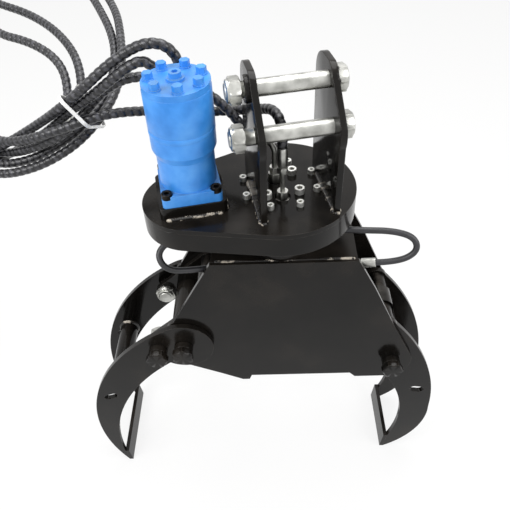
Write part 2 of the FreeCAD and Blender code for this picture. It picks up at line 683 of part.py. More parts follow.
def hose(label, points, radius):
    """Round hose along straight runs joined by tangent arcs."""
    route = [Vector(*point) for point in points]
    runs = [(b - a).Length for a, b in zip(route, route[1:])]
    edges, here, bends, length = [], route[0], [], 0
    for index in range(1, len(route) - 1):
        before = (route[index] - route[index - 1]).normalize()
        after = (route[index + 1] - route[index]).normalize()
        half_turn = before.getAngle(after) / 2
        setback = 0.45 * min(runs[index - 1], runs[index])
        bend = setback / math.tan(half_turn)
        enter, leave = route[index] - before * setback, route[index] + after * setback
        inward = (after - before).normalize()
        middle = route[index] + inward * (bend / math.cos(half_turn) - bend)
        edges += [Part.LineSegment(here, enter).toShape(), Part.Arc(enter, middle, leave).toShape()]
        length += (enter - here).Length + bend * 2 * half_turn
        here = leave
        bends.append("%.0f" % bend)
    edges.append(Part.LineSegment(here, route[-1]).toShape())
    length += (route[-1] - here).Length
    section = Part.Wire(Part.Circle(route[0], route[1] - route[0], radius).toShape())
    tube_shape = Part.Wire(edges).makePipeShell([section], True, False)
    share = tube_shape.Volume / (math.pi * radius ** 2 * length)
    print("%s length %.0f radii %s volume share %.4f" % (label, length, " ".join(bends), share))
    return shaped(label, tube_shape)


def head_point(x, y, z):
    point = HEAD.multVec(Vector(x, y, z))
    return (point.x, point.y, point.z)


def side_hoses():
    """Hoses from the turntable to the inside of the frame, one on each side."""
    low, radius = 650, d.side_hose_radius
    drum_end = d.drum_radius + 18
    for side, angle, middle, end, way in (
            ("left", 200, [(-135, -43, 652), (-183, -45, 647), (-207, -62, 631), (-192, -80, 609), (-150, -68, 596)],
             (-112, -56, 591), 1),
            ("right", -22, [(135, -42, 652), (184, -43, 650), (220, -50, 641), (227, -60, 618), (198, -62, 597)],
             (160, -56, 591), -1)):
        start = (*around((0, 0), drum_end, angle), low)
        hose("side_hose_" + side, [start, *middle, end], radius)
        ahead = (Vector(*end) - Vector(*middle[-1])).normalize()
        crimp = Part.makeCylinder(8, 24, Vector(*end), ahead)
        inner = Vector(*end) + ahead * 24
        stem = Part.makeCylinder(5.5, 20, inner, ahead)
        beyond = inner + ahead * 14
        tab = Part.makeBox(8, 44, d.frame_top - d.top_plate_thick - 570,
                           Vector(beyond.x - (0 if way > 0 else 8), -plate_inside, 570))
        shaped("side_hose_fitting_" + side, crimp.fuse(stem).fuse(tab).removeSplitter())


# Vertices of the four long hoses after their first point, seen from the slew axis.
LONG_ROUTES = {
    "long_hose_1": [
        (-171, 42, 893), (-189, 42, 917), (-207, 41, 918), (-241, 42, 896), (-284, 58, 859), (-341, 85, 815),
        (-391, 104, 768), (-471, 148, 707), (-519, 157, 682), (-565, 136, 657), (-604, 82, 637),
        (-669, 19, 624), (-747, 24, 631), (-794, 75, 638), (-796, 155, 642), (-749, 213, 650),
        (-676, 221, 663), (-565, 135, 677), (-491, 86, 693), (-418, 77, 714), (-357, 89, 741),
        (-315, 113, 768), (-285, 160, 793), (-274, 219, 816), (-283, 301, 840), (-312, 426, 850),
        (-388, 586, 857), (-416, 632, 857), (-496, 687, 854), (-590, 672, 854), (-649, 587, 853),
        (-636, 490, 849), (-535, 346, 841), (-453, 296, 844), (-395, 251, 831), (-370, 206, 806),
        (-369, 172, 783)],
    "long_hose_2": [
        (-140, 48, 896), (-151, 46, 931), (-173, 46, 944), (-205, 49, 938), (-252, 51, 909),
        (-297, 53, 872), (-354, 76, 823), (-417, 109, 774), (-484, 128, 731), (-553, 127, 699),
        (-601, 91, 675), (-636, 21, 651), (-694, -24, 643), (-762, -12, 645), (-824, 69, 649),
        (-820, 156, 647), (-755, 240, 659), (-679, 250, 670), (-576, 168, 683), (-499, 114, 696),
        (-435, 102, 713), (-376, 111, 740), (-333, 133, 764), (-302, 177, 788), (-291, 243, 810),
        (-302, 324, 833), (-350, 440, 850), (-408, 563, 858), (-437, 621, 862), (-500, 664, 862),
        (-580, 650, 862), (-624, 583, 862), (-609, 503, 861), (-567, 462, 857), (-476, 405, 852),
        (-401, 329, 840), (-350, 238, 822), (-343, 187, 804)],
    "long_hose_3": [
        (4, -30, 838), (0, -13, 851), (-10, 12, 850), (-23, 35, 838), (-45, 63, 821), (-73, 80, 811),
        (-110, 87, 806), (-155, 87, 807), (-218, 80, 816), (-269, 69, 819), (-308, 61, 813),
        (-361, 59, 796), (-425, 76, 769), (-482, 107, 749), (-595, 197, 732), (-690, 221, 736),
        (-791, 225, 717), (-893, 222, 622), (-952, 200, 460), (-973, 176, 300), (-986, 141, 149),
        (-968, 79, 52), (-929, -4, 14), (-905, -73, 14)],
    "long_hose_4": [
        (-46, 45, 788), (-61, 54, 802), (-80, 63, 824), (-108, 72, 847), (-152, 77, 867), (-207, 79, 877),
        (-247, 85, 868), (-286, 92, 840), (-318, 85, 808), (-368, 76, 773), (-437, 101, 733),
        (-510, 145, 700), (-588, 181, 702), (-682, 190, 709), (-786, 191, 689), (-874, 188, 601),
        (-920, 170, 450), (-945, 150, 290), (-957, 119, 139), (-937, 62, 48), (-890, -14, 14),
        (-850, -78, 14)],
}


def long_hoses():
    elbow_top = 116 + 28
    half, port_back = d.motor_port_pitch / 2, 56 + 4 + 13.5
    outlet = Vector(*rear_port, 70) + rear_way * (15 + rear_crimp)
    starts = (head_point(-gear_distance - half, port_back, elbow_top),
              head_point(-gear_distance + half, port_back, elbow_top),
              head_point(*front_port, 92), head_point(*outlet))
    ends = []
    for start, (label, route) in zip(starts, LONG_ROUTES.items()):
        hose(label, [start, *route], d.long_hose_radius)
        end = Vector(*route[-1])
        ends.append((end, (end - Vector(*route[-2])).normalize()))

    for number in (3, 4):
        end, ahead = ends[number - 1]
        crimp = Part.makeCylinder(d.ferrule_radius, d.ferrule_length, end, ahead)
        nut = Part.Face(Part.makePolygon([Vector(*around((0, 0), 12.5, a), 0) for a in range(0, 361, 60)]))
        nut.Placement = Placement(end + ahead * d.ferrule_length, Rotation(Vector(0, 0, 1), ahead))
        shaped("hose_end_fitting_%d" % number, crimp.fuse(nut.extrude(ahead * 16)).removeSplitter())

    # The ends of the first two hoses are joined to one block under the bundle.
    stub, depth = d.ferrule_radius - 2, d.ferrule_length - 6
    one, two = [end + ahead * (depth - 8) for end, ahead in ends[:2]]
    block = Part.makeCylinder(7, (two - one).Length, one, two - one)
    for end, ahead in ends[:2]:
        block = block.fuse(Part.makeCylinder(stub, depth, end, ahead))
    shaped("hose_coupler", block.removeSplitter())

    # The tie is a belt round the four outermost strands.
    around_strands = [(-334, 68, 841), (-320, 151, 774), (-309, 124, 773), (-311, 61, 812)]
    along = Vector(-0.767, -0.307, -0.563).normalize()
    across = along.cross(Vector(0, 0, 1)).normalize()
    place = Placement(Vector(*around_strands[0]), Rotation(across, along.cross(across), along, "ZXY"))
    corners = [place.inverse().multVec(Vector(*spot)) for spot in around_strands]
    loops = [belt([(spot.x, spot.y, reach) for spot in corners])
             for reach in (d.tie_reach + d.tie_thick, d.tie_reach)]
    tie = new_body("cable_tie", place)
    band = pad(tie, "XY_Plane", loops[0] + loops[1], "Sizes.tie_width")
    band.Midplane = True


slewing_parts = (housing, slewing, motor, fittings, hanger, frame, left_jaw, right_jaw, jaw_cylinder,
                 side_hoses, long_hoses)
for build in slewing_parts:
    build()
doc.recompute()

# The origin moves from the slew axis to the middle of the length over the tines.
tines = [piece.Shape.BoundBox for piece in pieces if "_tine_" in piece.Label]
middle = round((min(box.XMin for box in tines) + max(box.XMax for box in tines)) / 2, 1)
for piece in pieces:
    piece.Placement = at(-middle, 0, 0).multiply(piece.Placement)
doc.recompute()
print("slew axis at x %.1f" % -middle)

for item in doc.Objects:
    if "Invalid" in item.State or "Error" in item.State:
        raise RuntimeError("%s is not built: %s" % (item.Label, item.State))
labels = [piece.Label for piece in pieces]
if len(set(labels)) != len(labels) or len(labels) > 60:
    raise RuntimeError("labels are doubled or too many: %d" % len(labels))
for piece in pieces:
    if piece.Shape.isNull() or not piece.Shape.isValid() or len(piece.Shape.Solids) != 1:
        raise RuntimeError("%s is not one valid solid (%d)" % (piece.Label, len(piece.Shape.Solids)))
os.makedirs("parts", exist_ok=True)
for piece in pieces:
    piece.Shape.exportStep("parts/%s.step" % piece.Label)
print("%d pieces" % len(pieces))
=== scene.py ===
import json
import math
import bpy
import numpy as np
from mathutils import Matrix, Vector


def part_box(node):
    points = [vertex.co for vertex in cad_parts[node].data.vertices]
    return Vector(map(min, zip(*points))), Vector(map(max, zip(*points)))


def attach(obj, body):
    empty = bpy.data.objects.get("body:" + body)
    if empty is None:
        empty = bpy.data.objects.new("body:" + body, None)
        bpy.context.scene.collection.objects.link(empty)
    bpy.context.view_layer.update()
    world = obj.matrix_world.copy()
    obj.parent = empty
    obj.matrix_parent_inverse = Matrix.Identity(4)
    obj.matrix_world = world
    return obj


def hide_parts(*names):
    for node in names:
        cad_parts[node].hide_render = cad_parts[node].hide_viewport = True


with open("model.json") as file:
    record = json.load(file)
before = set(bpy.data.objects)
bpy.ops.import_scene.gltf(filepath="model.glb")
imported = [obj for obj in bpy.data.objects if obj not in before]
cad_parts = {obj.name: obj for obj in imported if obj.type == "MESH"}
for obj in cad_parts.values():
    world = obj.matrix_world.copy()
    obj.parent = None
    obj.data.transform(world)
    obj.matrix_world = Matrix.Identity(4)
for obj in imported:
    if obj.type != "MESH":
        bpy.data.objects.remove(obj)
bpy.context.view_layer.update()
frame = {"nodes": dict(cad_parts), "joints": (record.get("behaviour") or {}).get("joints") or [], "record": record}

# The slew axis, and the top of the head's plate, where the motor's block stands: both in metres.
JOINTS = {joint["name"]: joint for joint in frame["joints"]}
SLEW_AXIS = JOINTS["slew"]["pos_m"][0]
HEAD_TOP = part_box("motor_mount_block")[0][2]
# The head is turned about the slew axis, and the motor stands this many millimetres along its own X.
HEAD_TURN = math.radians(10.9)
MOTOR_X = -144.0


# ---------- colours and materials ----------

def linear(colour):
    """An sRGB hex colour as linear RGBA: each channel by the sRGB curve."""
    channels = np.array([int(colour[i:i + 2], 16) for i in (1, 3, 5)]) / 255
    low, high = channels / 12.92, ((channels + 0.055) / 1.055) ** 2.4
    return (*(float(v) for v in np.where(channels <= 0.04045, low, high)), 1.0)


def add(tree, kind, inputs=(), stops=(), **settings):
    """Adds a node with its settings. An input is given a value or linked to a socket, and a ramp
    gets its stops of (place, hex colour)."""
    node = tree.nodes.new(kind)
    for name, value in settings.items():
        setattr(node, name, value)
    for name, value in dict(inputs).items():
        if isinstance(value, bpy.types.NodeSocket):
            tree.links.new(value, node.inputs[name])
        else:
            node.inputs[name].default_value = value
    for number, (place, colour) in enumerate(stops):
        ends = node.color_ramp.elements
        element = ends[number] if number < 2 else ends.new(place)
        element.position = place
        element.color = linear(colour)
    return node


def across(size):
    """The scale of a noise whose blobs are this many millimetres across."""
    return 1000 / size


def start(name, **numbers):
    """An empty material, its tree, its shader, whose own sockets get the numbers, and its coordinates."""
    material = bpy.data.materials.new(name)
    material.use_nodes = True
    tree = material.node_tree
    tree.nodes.clear()
    shader = add(tree, "ShaderNodeBsdfPrincipled",
                 {key.replace("_", " "): value for key, value in numbers.items()})
    add(tree, "ShaderNodeOutputMaterial", {"Surface": shader.outputs[0]})
    return material, tree, shader, add(tree, "ShaderNodeTexCoord").outputs


def patchy(tree, shader, cloud, rough):
    """Roughness that goes from its first value to its second across the patches of the cloud."""
    shine = add(tree, "ShaderNodeMapRange", {
        "Value": cloud.outputs["Fac"], "From Min": 0.3, "From Max": 0.7,
        "To Min": rough[0], "To Max": rough[1]})
    tree.links.new(shine.outputs[0], shader.inputs["Roughness"])


def grained(tree, shader, spot, size, strength, depth, **under):
    """Bump from a fine noise: its size in millimetres, its depth in metres."""
    fine = add(tree, "ShaderNodeTexNoise", {
        "Vector": spot["Object"], "Scale": across(size), "Detail": 2.0})
    bump = add(tree, "ShaderNodeBump", {
        "Height": fine.outputs["Fac"], "Strength": strength, "Distance": depth, **under})
    tree.links.new(bump.outputs[0], shader.inputs["Normal"])


def enamel(name, tones, patch, bare, rough, peel, dust, level):
    """Sprayed enamel: tones in patches, bare spots where a rub has cut the paint, orange peel, rounded edges
    lightened toward the bare tone, partly as wear and partly as a painted highlight, and dust on faces that look
    up. Sizes are millimetres."""
    material, tree, shader, spot = start(name, IOR=1.5, Specular_IOR_Level=level)
    cloud = add(tree, "ShaderNodeTexNoise", {
        "Vector": spot["Object"], "Scale": across(patch), "Detail": 5.0})
    paint = add(tree, "ShaderNodeValToRGB", {"Fac": cloud.outputs["Fac"]}, tones)
    patchy(tree, shader, cloud, rough)
    # An edge is rounded over 1 mm, and where the rounded and the flat normal part its colour goes toward the bare
    # tone: partly wear of the paint, partly a painted highlight along the edge.
    edge = add(tree, "ShaderNodeBevel", {"Radius": 0.001}, samples=4)
    flat = add(tree, "ShaderNodeNewGeometry").outputs["Normal"]
    agree = add(tree, "ShaderNodeVectorMath", {0: edge.outputs[0], 1: flat}, operation="DOT_PRODUCT")
    edge_wear_and_highlight = add(tree, "ShaderNodeMapRange", {
        "Value": agree.outputs["Value"], "From Min": 0.97, "From Max": 0.86, "To Min": 0.0, "To Max": 0.75})
    # Rubs are 26 mm across and 4 mm high, and break the lightened edges up too.
    low = add(tree, "ShaderNodeMapping", {"Vector": spot["Object"], "Scale": (1, 1, 6)})
    rub = add(tree, "ShaderNodeTexNoise", {"Vector": low.outputs[0], "Scale": across(26), "Detail": 6.0})
    rub_and_edge_highlight = add(tree, "ShaderNodeMath", {
        0: rub.outputs["Fac"], 1: edge_wear_and_highlight.outputs[0], 2: rub.outputs["Fac"]}, operation="MULTIPLY_ADD")
    bare_and_highlight_mask = add(tree, "ShaderNodeValToRGB", {"Fac": rub_and_edge_highlight.outputs[0]},
                  [(0.73, "#000000"), (0.8, "#9a9a9a")])
    painted = add(tree, "ShaderNodeMix", {
        "Factor": bare_and_highlight_mask.outputs[0], "A": paint.outputs[0], "B": linear(bare)}, data_type="RGBA")
    # Dust lies in patches 40 mm across on what faces up.
    up = add(tree, "ShaderNodeSeparateXYZ", {0: spot["Normal"]})
    lying = add(tree, "ShaderNodeTexNoise", {"Vector": spot["Object"], "Scale": across(40), "Detail": 7.0})
    film = add(tree, "ShaderNodeMath", {0: up.outputs["Z"], 1: lying.outputs["Fac"]}, operation="MULTIPLY")
    shown = add(tree, "ShaderNodeMapRange", {
        "Value": film.outputs[0], "From Min": 0.3, "From Max": 0.7, "To Min": 0.0, "To Max": dust[1]})
    dusty = add(tree, "ShaderNodeMix", {
        "Factor": shown.outputs[0], "A": painted.outputs["Result"], "B": linear(dust[0])}, data_type="RGBA")
    tree.links.new(dusty.outputs["Result"], shader.inputs["Base Color"])
    grained(tree, shader, spot, peel[0], peel[1], 0.0005, Normal=edge.outputs[0])
    return material


def metal(name, tones, rough, patch, grain=0.03):
    """A bare or plated metal: tones in patches of a size in millimetres, a roughness between two values,
    and a fine grain from its rolling or plating, drawn 1 mm wide so that it shows."""
    material, tree, shader, spot = start(name, Metallic=1.0)
    cloud = add(tree, "ShaderNodeTexNoise", {
        "Vector": spot["Object"], "Scale": across(patch), "Detail": 5.0})
    tone = add(tree, "ShaderNodeValToRGB", {"Fac": cloud.outputs["Fac"]}, tones)
    tree.links.new(tone.outputs[0], shader.inputs["Base Color"])
    patchy(tree, shader, cloud, rough)
    grained(tree, shader, spot, 1, grain, 0.0003)
    return material


def polymer(name, tones, rough, patch, grain, ior, attribute=None):
    """A moulded or extruded plastic or rubber: tones in patches, or in patches times the piece's own
    attribute, and a fine grain. Sizes are millimetres."""
    material, tree, shader, spot = start(name, IOR=ior, Roughness=rough)
    cloud = add(tree, "ShaderNodeTexNoise", {
        "Vector": spot["Object"], "Scale": across(patch), "Detail": 6.0})
    factor = cloud.outputs["Fac"]
    if attribute:
        own = add(tree, "ShaderNodeAttribute", attribute_name=attribute).outputs["Fac"]
        factor = add(tree, "ShaderNodeMath", {0: factor, 1: own}, operation="MULTIPLY").outputs[0]
    tone = add(tree, "ShaderNodeValToRGB", {"Fac": factor}, tones)
    tree.links.new(tone.outputs[0], shader.inputs["Base Color"])
    grained(tree, shader, spot, grain, 0.15, 0.0002)
    return material


FINISHES = {
    # Black alkyd enamel on rolled plate: brown-black and glossy, mirrors softly; its edges are lighter, partly
    # from wear and partly as a painted highlight.
    "black_paint": enamel(
        "black_alkyd_enamel", [(0.32, "#0b0a09"), (0.55, "#141210"), (0.74, "#221e1a")], patch=110,
        bare="#6f675e", rough=(0.07, 0.24), peel=(2, 0.06), dust=("#3a3530", 0.25), level=0.2),
    # Light blue machine paint on cast iron: bright and satin, over a casting 3 mm coarse, with grey dirt.
    "blue_paint": enamel(
        "light_blue_machine_paint", [(0.3, "#2b7fd2"), (0.5, "#3d8fe2"), (0.72, "#539eea")], patch=30,
        bare="#8fb4d6", rough=(0.3, 0.46), peel=(3, 0.25), dust=("#4c7090", 0.7), level=0.5),
    # Bright zinc plating on turned steel: pale grey, satin, clouded over 20 mm.
    "zinc_steel": metal(
        "bright_zinc_plate", [(0.35, "#9f9f9a"), (0.65, "#cbcbc6")], rough=(0.3, 0.42), patch=20),
    # Turned and ground steel with a film of oil: grey, satin.
    "machined_steel": metal(
        "oiled_turned_steel", [(0.35, "#8d8b86"), (0.65, "#b5b3ae")], rough=(0.28, 0.42), patch=22),
    # Hard chrome painted dark: painted shade for the gap between the plates where it stands, and the black paint
    # of its eye; a dark mirror, dulled in patches.
    "chrome_rod": metal(
        "oil_filmed_chrome", [(0.35, "#2b2a28"), (0.65, "#474542")], rough=(0.16, 0.3), patch=33,
        grain=0.01),
    # Extruded polyethylene guard: black and waxy, its crests scuffed grey by dust 8 mm coarse.
    "spiral_guard": polymer(
        "black_polyethylene_guard", [(0.16, "#0f0f11"), (0.45, "#222226"), (0.7, "#55555a")],
        rough=0.3, patch=8, grain=1.2, ior=1.51, attribute="crest"),
    # Nitrile hose cover: smooth, soft black, slightly grey with dust.
    "side_hose_rubber": polymer(
        "nitrile_hose_cover", [(0.35, "#19191b"), (0.65, "#2d2d31")], rough=0.42, patch=33, grain=1,
        ior=1.52),
    # Nylon 66 tie: milky white.
    "tie_plastic": polymer(
        "white_nylon", [(0.35, "#e4e3df"), (0.65, "#f2f1ee")], rough=0.4, patch=12, grain=1, ior=1.53),
}
# Chemically blackened steel: nearly black, with an oily sheen. On the cylinder's pins it is partly painted shade.
BLACK_OXIDE_AND_PAINTED_SHADE = metal(
    "black_oxide_steel", [(0.35, "#1d1b19"), (0.65, "#37332f")], rough=(0.3, 0.45), patch=11)
# Zinc on cold-headed screws: more matt than on turned steel, and painted paler so that the heads' sides look lit
# from above.
SCREW_ZINC_PAINTED_LIGHTER = metal(
    "passivated_zinc_plate", [(0.35, "#cfcfca"), (0.65, "#ededea")], rough=(0.5, 0.62), patch=12)
# A fillet weld under the enamel: black and glossy, with short bright runs: painted glints where light catches the
# rippled bead, and in part metal rubbed bare.
WELD_WITH_PAINTED_GLINTS = enamel(
    "enamelled_weld_bead", [(0.3, "#0d0c0b"), (0.53, "#1b1815"), (0.57, "#b9b0a2")], patch=17,
    bare="#c8bfae", rough=(0.12, 0.3), peel=(2, 0.3), dust=("#57504a", 0.3), level=0.5)

for part in frame["record"]["subparts"]:
    data = frame["nodes"][part["node"]].data
    data.materials.clear()
    data.materials.append(FINISHES[part["material_slot"]])

# The cylinder's pins get blackened steel, partly painted shade, so that the gap beside the frame, which lies in
# shadow, stays dark.
for node in ("left_cylinder_pin", "right_cylinder_pin"):
    frame["nodes"][node].data.materials[0] = BLACK_OXIDE_AND_PAINTED_SHADE


# ---------- surfaces ----------

def surface(name, grid, material, body, smooth=35):
    """Closes a grid of points (along, around, 3) round its second index and caps both ends at their
    middles. Faces that meet at less than the smooth angle, in degrees, are shaded as one."""
    rows, columns = grid.shape[:2]
    points = np.vstack([grid.reshape(-1, 3), grid[0].mean(0), grid[-1].mean(0)])
    i, j = np.meshgrid(np.arange(rows - 1), np.arange(columns), indexing="ij")
    k = (j + 1) % columns
    sides = np.stack([i * columns + j, i * columns + k, (i + 1) * columns + k, (i + 1) * columns + j], -1)
    j = np.arange(columns)
    k = (j + 1) % columns
    first, last = rows * columns, (rows - 1) * columns
    caps = [np.stack([np.full(columns, first), k, j], -1),
            np.stack([np.full(columns, first + 1), last + j, last + k], -1)]
    mesh = bpy.data.meshes.new(name)
    mesh.from_pydata(points.tolist(), [], sides.reshape(-1, 4).tolist() + np.vstack(caps).tolist())
    mesh.polygons.foreach_set("use_smooth", [True] * len(mesh.polygons))
    mesh.set_sharp_from_angle(angle=math.radians(smooth))
    mesh.materials.append(material)
    made = bpy.data.objects.new(name, mesh)
    bpy.context.collection.objects.link(made)
    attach(made, body)
    return made


def on_head(points):
    """Points in millimetres on the slewing head, turned and moved to their place in metres."""
    x, y, z = np.moveaxis(np.asarray(points, float) / 1000, -1, 0)
    c, s = math.cos(HEAD_TURN), math.sin(HEAD_TURN)
    return np.stack([c * x - s * y + SLEW_AXIS, s * x + c * y, z + HEAD_TOP], -1)


def on_ground(points):
    """Points in millimetres from the slew axis at floor level, in metres in the frame."""
    return np.asarray(points, float) / 1000 + (SLEW_AXIS, 0, 0)


# A radius that bounds nothing, for a profile's rows that are only round or only flat.
FREE = 1e6


def turned(profile, foot, direction, sides=60, roll=0.0, ripple=0.0):
    """A shape turned round a line from its foot. The profile is (height, flat, round): at each height the
    radius is the hexagon's for that distance to its flats, but no more than the round radius. In rows with
    no round bound every second point is drawn in by the ripple's share."""
    height, flat, bound = (np.array(v, float)[:, None] for v in zip(*profile))
    angle = np.arange(sides) * math.tau / sides
    hexagon = 1 / np.cos((angle + math.pi / 6) % (math.pi / 3) - math.pi / 6)
    radius = np.minimum(flat * hexagon, bound)
    radius = radius * (1 - ripple * (bound == FREE) * (np.arange(sides) % 2))
    along = np.array(direction, float) / np.linalg.norm(direction)
    aside = np.cross(along, (0, 0, 1) if abs(along[2]) < 0.9 else (1, 0, 0))
    aside /= np.linalg.norm(aside)
    other = np.cross(along, aside)
    turn = angle + roll
    ring = np.cos(turn)[:, None] * aside + np.sin(turn)[:, None] * other
    return np.array(foot, float) + height[..., None] * along + radius[..., None] * ring


def piece(name, points, finish, body, *nodes):
    """A closed piece in the record's finish. It stands for the nodes named."""
    made = surface(name, points, FINISHES[finish], body)
    if nodes:
        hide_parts(*nodes)
    return made


# ---------- hoses ----------

# Points of each hose's route, from its port to its end, in millimetres from the slew axis at floor level.
ROUTES = {
    "long_hose_1": [
        (-171, 41.9, 862), (-171, 42, 893), (-189, 42, 917), (-207, 41, 918), (-241, 42, 896),
        (-284, 58, 859), (-341, 85, 815), (-391, 104, 768), (-471, 148, 707), (-519, 157, 682),
        (-565, 136, 657), (-604, 82, 637), (-669, 19, 624), (-747, 24, 631), (-794, 75, 638),
        (-796, 155, 642), (-749, 213, 650), (-676, 221, 663), (-565, 135, 677), (-491, 86, 693),
        (-418, 77, 714), (-357, 89, 741), (-315, 113, 768), (-285, 160, 793), (-274, 219, 816),
        (-283, 301, 840), (-312, 426, 850), (-388, 586, 857), (-416, 632, 857), (-496, 687, 854),
        (-590, 672, 854), (-649, 587, 853), (-636, 490, 849), (-535, 346, 841), (-453, 296, 844),
        (-395, 251, 831), (-370, 206, 806), (-369, 172, 783)],
    "long_hose_2": [
        (-139.6, 48, 862), (-140, 48, 896), (-151, 46, 931), (-173, 46, 944), (-205, 49, 938),
        (-252, 51, 909), (-297, 53, 872), (-354, 76, 823), (-417, 109, 774), (-484, 128, 731),
        (-553, 127, 699), (-601, 91, 675), (-636, 21, 651), (-694, -24, 643), (-762, -12, 645),
        (-824, 69, 649), (-820, 156, 647), (-755, 240, 659), (-679, 250, 670), (-576, 168, 683),
        (-499, 114, 696), (-435, 102, 713), (-376, 111, 740), (-333, 133, 764), (-302, 177, 788),
        (-291, 243, 810), (-302, 324, 833), (-350, 440, 850), (-408, 563, 858), (-437, 621, 862),
        (-500, 664, 862), (-580, 650, 862), (-624, 583, 862), (-609, 503, 861), (-567, 462, 857),
        (-476, 405, 852), (-401, 329, 840), (-350, 238, 822), (-343, 187, 804)],
    "long_hose_3": [
        (3.7, -29.8, 810), (4, -30, 838), (0, -13, 851), (-10, 12, 850), (-23, 35, 838), (-45, 63, 821),
        (-73, 80, 811), (-110, 87, 806), (-155, 87, 807), (-218, 80, 816), (-269, 69, 819),
        (-308, 61, 813), (-361, 59, 796), (-425, 76, 769), (-482, 107, 749), (-595, 197, 732),
        (-690, 221, 736), (-791, 225, 717), (-893, 222, 622), (-952, 200, 460), (-973, 176, 300),
        (-986, 141, 149), (-968, 79, 52), (-929, -4, 14), (-905, -73, 14)],
    "long_hose_4": [
        (-28.7, 30.8, 788), (-46, 45, 788), (-61, 54, 802), (-80, 63, 824), (-108, 72, 847),
        (-152, 77, 867), (-207, 79, 877), (-247, 85, 868), (-286, 92, 840), (-318, 85, 808),
        (-368, 76, 773), (-437, 101, 733), (-510, 145, 700), (-588, 181, 702), (-682, 190, 709),
        (-786, 191, 689), (-874, 188, 601), (-920, 170, 450), (-945, 150, 290), (-957, 119, 139),
        (-937, 62, 48), (-890, -14, 14), (-850, -78, 14)],
}
SIDE_ROUTES = {
    "side_hose_left": [
        (-86.5, -31.5, 650), (-135, -43, 652), (-183, -45, 647), (-207, -62, 631), (-192, -80, 609),
        (-150, -68, 596), (-112, -56, 591)],
    "side_hose_right": [
        (85.3, -34.5, 650), (135, -42, 652), (184, -43, 650), (220, -50, 641), (227, -60, 618),
        (198, -62, 597), (160, -56, 591)],
}


def centre_line(name, route):
    """The route's own smooth line, a NURBS curve of order 3 that reaches both ends."""
    curve = bpy.data.curves.new(name, "CURVE")
    curve.dimensions = "3D"
    curve.resolution_u = 12
    spline = curve.splines.new("NURBS")
    spline.points.add(len(route) - 1)
    spline.points.foreach_set("co", np.column_stack([on_ground(route), np.ones(len(route))]).ravel())
    spline.order_u = 3
    spline.use_endpoint_u = True
    return curve


def line_points(curve):
    """Points along a curve with no bevel, in order."""
    probe = bpy.data.objects.new("probe", curve)
    bpy.context.collection.objects.link(probe)
    bpy.context.view_layer.update()
    mesh = bpy.data.meshes.new_from_object(probe.evaluated_get(bpy.context.evaluated_depsgraph_get()))
    points = np.empty(len(mesh.vertices) * 3)
    mesh.vertices.foreach_get("co", points)
    bpy.data.objects.remove(probe)
    bpy.data.meshes.remove(mesh)
    return points.reshape(-1, 3)


def spaced(points, step):
    """The same line at even steps, and how far along it each point lies."""
    reach = np.r_[0, np.cumsum(np.linalg.norm(np.diff(points, axis=0), axis=1))]
    marks = np.linspace(0, reach[-1], int(round(reach[-1] / step)) + 1)
    return np.stack([np.interp(marks, reach, points[:, axis]) for axis in range(3)], -1), marks


def frames(points):
    """Two unit vectors across the line at each point that don't twist about it: those of a fixed
    direction, turned back by the sum of their small turns. The fixed direction is the trial that the
    line comes least near to."""
    along = np.gradient(points, axis=0)
    along /= np.linalg.norm(along, axis=1)[:, None]
    trials = np.array([(1, 0.2, 0.3), (0.2, 1, 0.3), (0.3, 0.2, 1), (1, -1, 1), (-1, -1, 1), (1, 1, 1)])
    trials /= np.linalg.norm(trials, axis=1)[:, None]
    fixed = trials[np.argmin(np.abs(along @ trials.T).max(0))]
    aside = fixed - (along @ fixed)[:, None] * along
    aside /= np.linalg.norm(aside, axis=1)[:, None]
    other = np.cross(along, aside)
    twist = -np.cumsum(np.r_[0, np.sum(np.diff(aside, axis=0) * other[:-1], axis=1)])[:, None]
    return aside * np.cos(twist) + other * np.sin(twist), other * np.cos(twist) - aside * np.sin(twist)


def swept(line, radius):
    """A tube round a line of points: across the line at each point, a ring of that point's radii."""
    aside, other = frames(line)
    angle = (np.arange(radius.shape[1]) * math.tau / radius.shape[1])[None, :, None]
    ring = np.cos(angle) * aside[:, None] + np.sin(angle) * other[:, None]
    return line[:, None] + radius[..., None] * ring


def spiral_guard(name, points, radius, pitch=0.0125, groove=0.0012, around=18):
    """A hose in spiral guard, in metres: the radius falls from its crest by the groove's depth times the
    cube of the distance from the crest, on a helix of the given pitch, and by 3 % at the ends. Its own
    attribute marks the crests."""
    line, marks = spaced(points, pitch / 8)
    phase = (marks[:, None] / pitch - np.arange(around) / around) % 1
    fall = np.abs(2 * phase - 1) ** 3
    reach = radius - groove * fall
    reach[[0, -1]] *= 0.97
    guard = surface(name, swept(line, reach), FINISHES["spiral_guard"], "rotator_head", smooth=80)
    crest = guard.data.attributes.new("crest", "FLOAT", "POINT")
    crest.data.foreach_set("value", np.r_[(1 - fall).ravel(), 1, 1])
    return guard, line


for name, route in ROUTES.items():
    curve = centre_line(name + "_line", route)
    points = line_points(curve)
    bpy.data.curves.remove(curve)
    guard, line = spiral_guard(name + "_guard", points, 0.008)
    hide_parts(name)

for name, route in SIDE_ROUTES.items():
    curve = centre_line(name + "_rubber", route)
    points = line_points(curve)
    curve.bevel_depth = 0.0054
    curve.bevel_resolution = 5
    curve.use_fill_caps = True
    curve.materials.append(FINISHES["side_hose_rubber"])
    rubber = bpy.data.objects.new(name + "_rubber", curve)
    bpy.context.collection.objects.link(rubber)
    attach(rubber, "grapple_frame")
    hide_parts(name)


# ---------- bolts, nuts and screws ----------

FRONT, REAR, UP, RIGHT = (0, -1, 0), (0, 1, 0), (0, 0, 1), (1, 0, 0)
# The M24 heads and nuts: the distance from the middle to a flat and to a point, and their thicknesses.
FLAT = 18
POINT = FLAT / math.cos(math.pi / 6)
HEAD_THICK, COLLAR_THICK, NUT_THICK = 15, 12, 20


